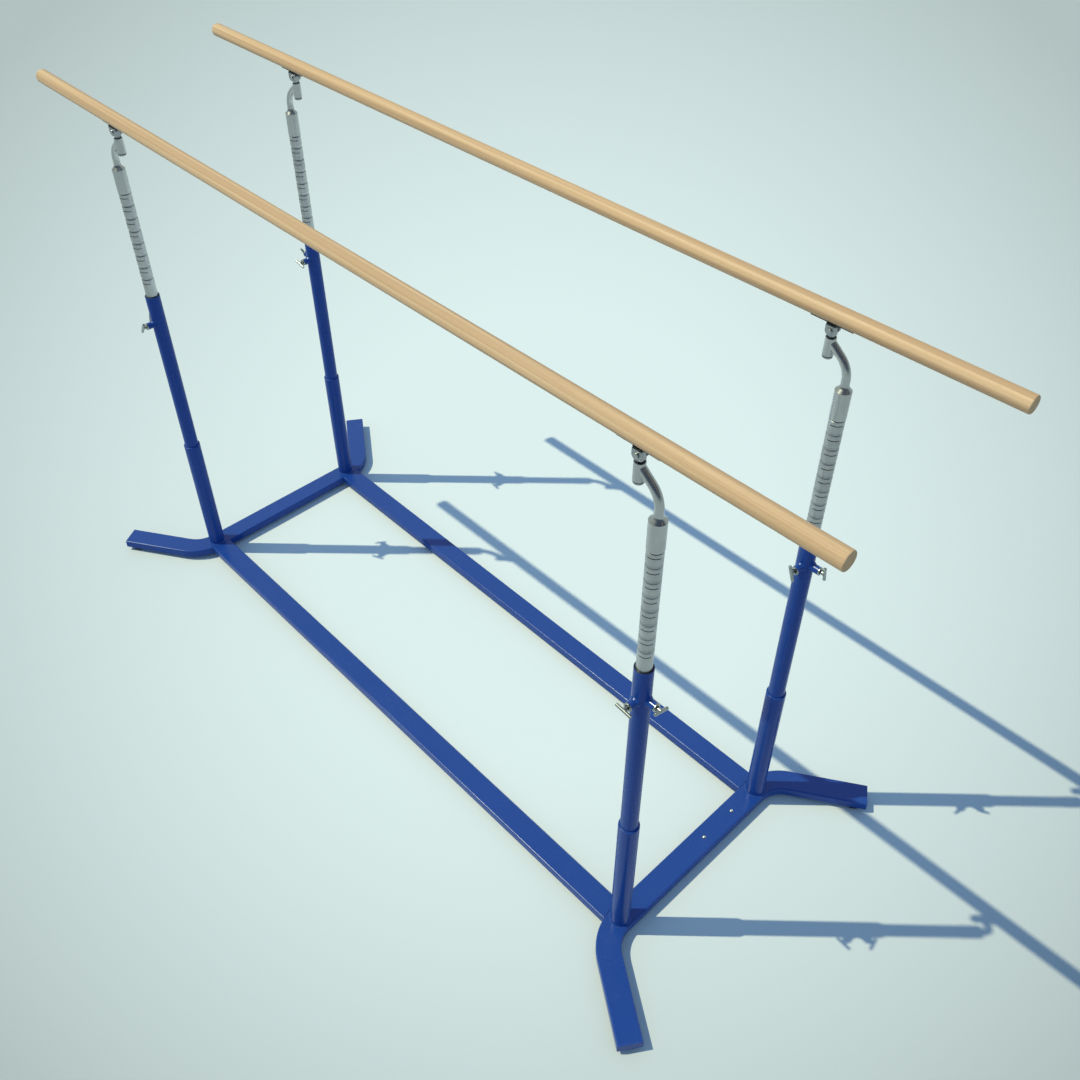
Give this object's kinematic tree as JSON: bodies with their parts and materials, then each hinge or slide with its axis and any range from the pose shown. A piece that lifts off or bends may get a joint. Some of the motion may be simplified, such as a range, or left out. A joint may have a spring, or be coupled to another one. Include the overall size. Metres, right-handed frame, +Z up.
{
  "type": "gymnastic parallel bars",
  "caption": "Two round wooden bars, side by side on telescopic steel uprights with clamp screws and bent bar heads, over a flat blue tube base with splayed legs.",
  "frame": {"origin": "on the floor, under the middle of the apparatus", "axes": "+X along the bars towards the end with the two deck screws, +Y across from the front bar to the back bar, +Z up"},
  "size_m": [3.5, 1.3566, 2.092],
  "materials": {
    "blue_paint": "glossy blue paint on steel tube",
    "primed_steel": "dark primer on steel tube",
    "zinc_steel": "zinc-plated fasteners",
    "rubber_black": "black rubber",
    "plastic_black": "black bearing plastic",
    "collar_steel": "satin turned steel",
    "clamp_steel": "satin steel, worn by hands",
    "piston_chrome": "satin-ground steel rod",
    "neck_chrome": "bright-plated steel",
    "bracket_steel": "plated forged steel",
    "head_steel": "plated steel",
    "bar_wood": "light laminated wood, fine satin lacquer"
  },
  "bodies": {
    "base": {"end_frame_right": "blue_paint", "end_frame_left": "blue_paint", "rail_front": "blue_paint", "rail_back": "blue_paint", "deck_screws": "zinc_steel", "rail_spigots": "primed_steel", "rail_bolts": "zinc_steel", "leg_caps": "blue_paint", "rubber_feet": "rubber_black", "foot_screws": "zinc_steel", "guide_bushes": "plastic_black", "boss_collars": "collar_steel", "column_front_right": "blue_paint", "column_back_right": "blue_paint", "column_front_left": "blue_paint", "column_back_left": "blue_paint", "post_front_right": "blue_paint", "post_back_right": "blue_paint", "post_front_left": "blue_paint", "post_back_left": "blue_paint"},
    "lift_front_right": {"piston_front_right": "piston_chrome", "piston_ring_front_right": "plastic_black"},
    "neck_front_right": {"gooseneck_front_right": "neck_chrome", "socket_liner_front_right": "plastic_black"},
    "lift_front_left": {"piston_front_left": "piston_chrome", "piston_ring_front_left": "plastic_black"},
    "neck_front_left": {"gooseneck_front_left": "neck_chrome", "socket_liner_front_left": "plastic_black"},
    "bar_set_front": {"bar_front": "bar_wood", "bar_screws_front": "zinc_steel", "bracket_front_right": "bracket_steel", "bracket_front_left": "bracket_steel", "head_stem_front_right": "head_steel", "hinge_pin_front_right": "head_steel"},
    "head_front_left": {"head_stem_front_left": "head_steel", "hinge_pin_front_left": "head_steel"},
    "lift_back_right": {"piston_back_right": "piston_chrome", "piston_ring_back_right": "plastic_black"},
    "neck_back_right": {"gooseneck_back_right": "neck_chrome", "socket_liner_back_right": "plastic_black"},
    "lift_back_left": {"piston_back_left": "piston_chrome", "piston_ring_back_left": "plastic_black"},
    "neck_back_left": {"gooseneck_back_left": "neck_chrome", "socket_liner_back_left": "plastic_black"},
    "bar_set_back": {"bar_back": "bar_wood", "bar_screws_back": "zinc_steel", "bracket_back_right": "bracket_steel", "bracket_back_left": "bracket_steel", "head_stem_back_right": "head_steel", "hinge_pin_back_right": "head_steel"},
    "head_back_left": {"head_stem_back_left": "head_steel", "hinge_pin_back_left": "head_steel"},
    "front_screw_front_right": {"front_clamp_front_right": "clamp_steel"},
    "side_screw_front_right": {"side_clamp_front_right": "clamp_steel"},
    "front_screw_back_right": {"front_clamp_back_right": "clamp_steel"},
    "side_screw_back_right": {"side_clamp_back_right": "clamp_steel"},
    "front_screw_front_left": {"front_clamp_front_left": "clamp_steel"},
    "side_screw_front_left": {"side_clamp_front_left": "clamp_steel"},
    "front_screw_back_left": {"front_clamp_back_left": "clamp_steel"},
    "side_screw_back_left": {"side_clamp_back_left": "clamp_steel"}
  },
  "joints": [
    {"name": "height_front", "type": "slide", "parent": "base", "child": "lift_front_right", "axis": [0, 0, 1], "range_m": [-0.4, 0.15]},
    {"name": "height_front_left", "type": "slide", "parent": "base", "child": "lift_front_left", "axis": [0, 0, 1], "range_m": [-0.4, 0.15]},
    {"name": "width_front", "type": "hinge", "parent": "lift_front_right", "child": "neck_front_right", "pos_m": [1.278, -0.365, 1.8], "axis": [0, 0, 1], "range_deg": [-22, 22]},
    {"name": "width_front_left", "type": "hinge", "parent": "lift_front_left", "child": "neck_front_left", "pos_m": [-1.278, -0.365, 1.8], "axis": [0, 0, 1], "range_deg": [-22, 22]},
    {"name": "bar_swivel_front", "type": "hinge", "parent": "neck_front_right", "child": "bar_set_front", "pos_m": [1.211, -0.365, 1.97], "axis": [0, 0, 1], "range_deg": [-22, 22]},
    {"name": "head_swivel_front_left", "type": "hinge", "parent": "neck_front_left", "child": "head_front_left", "pos_m": [-1.211, -0.365, 1.97], "axis": [0, 0, 1], "range_deg": [-22, 22]},
    {"name": "height_back", "type": "slide", "parent": "base", "child": "lift_back_right", "axis": [0, 0, 1], "range_m": [-0.4, 0.15]},
    {"name": "height_back_left", "type": "slide", "parent": "base", "child": "lift_back_left", "axis": [0, 0, 1], "range_m": [-0.4, 0.15]},
    {"name": "width_back", "type": "hinge", "parent": "lift_back_right", "child": "neck_back_right", "pos_m": [1.278, 0.365, 1.8], "axis": [0, 0, 1], "range_deg": [-22, 22]},
    {"name": "width_back_left", "type": "hinge", "parent": "lift_back_left", "child": "neck_back_left", "pos_m": [-1.278, 0.365, 1.8], "axis": [0, 0, 1], "range_deg": [-22, 22]},
    {"name": "bar_swivel_back", "type": "hinge", "parent": "neck_back_right", "child": "bar_set_back", "pos_m": [1.211, 0.365, 1.97], "axis": [0, 0, 1], "range_deg": [-22, 22]},
    {"name": "head_swivel_back_left", "type": "hinge", "parent": "neck_back_left", "child": "head_back_left", "pos_m": [-1.211, 0.365, 1.97], "axis": [0, 0, 1], "range_deg": [-22, 22]},
    {"name": "front_screw_turn_front_right", "type": "hinge", "parent": "base", "child": "front_screw_front_right", "pos_m": [1.278, -0.415, 1.23], "axis": [0, -1, 0], "range_deg": [-120, 360]},
    {"name": "side_screw_turn_front_right", "type": "hinge", "parent": "base", "child": "side_screw_front_right", "pos_m": [1.328, -0.365, 1.23], "axis": [1, 0, 0], "range_deg": [-120, 360]},
    {"name": "front_screw_turn_back_right", "type": "hinge", "parent": "base", "child": "front_screw_back_right", "pos_m": [1.278, 0.315, 1.23], "axis": [0, -1, 0], "range_deg": [-120, 360]},
    {"name": "side_screw_turn_back_right", "type": "hinge", "parent": "base", "child": "side_screw_back_right", "pos_m": [1.328, 0.365, 1.23], "axis": [1, 0, 0], "range_deg": [-120, 360]},
    {"name": "front_screw_turn_front_left", "type": "hinge", "parent": "base", "child": "front_screw_front_left", "pos_m": [-1.278, -0.415, 1.23], "axis": [0, -1, 0], "range_deg": [-120, 360]},
    {"name": "side_screw_turn_front_left", "type": "hinge", "parent": "base", "child": "side_screw_front_left", "pos_m": [-1.328, -0.365, 1.23], "axis": [-1, 0, 0], "range_deg": [-120, 360]},
    {"name": "front_screw_turn_back_left", "type": "hinge", "parent": "base", "child": "front_screw_back_left", "pos_m": [-1.278, 0.315, 1.23], "axis": [0, -1, 0], "range_deg": [-120, 360]},
    {"name": "side_screw_turn_back_left", "type": "hinge", "parent": "base", "child": "side_screw_back_left", "pos_m": [-1.328, 0.365, 1.23], "axis": [-1, 0, 0], "range_deg": [-120, 360]}
  ],
  "couplings": [
    {"joint": "height_front_left", "follows": "height_front", "ratio": 1},
    {"joint": "width_front_left", "follows": "width_front", "ratio": -1},
    {"joint": "bar_swivel_front", "follows": "width_front", "ratio": -1},
    {"joint": "head_swivel_front_left", "follows": "width_front", "ratio": 1},
    {"joint": "height_back_left", "follows": "height_back", "ratio": 1},
    {"joint": "width_back_left", "follows": "width_back", "ratio": -1},
    {"joint": "bar_swivel_back", "follows": "width_back", "ratio": -1},
    {"joint": "head_swivel_back_left", "follows": "width_back", "ratio": 1}
  ]
}
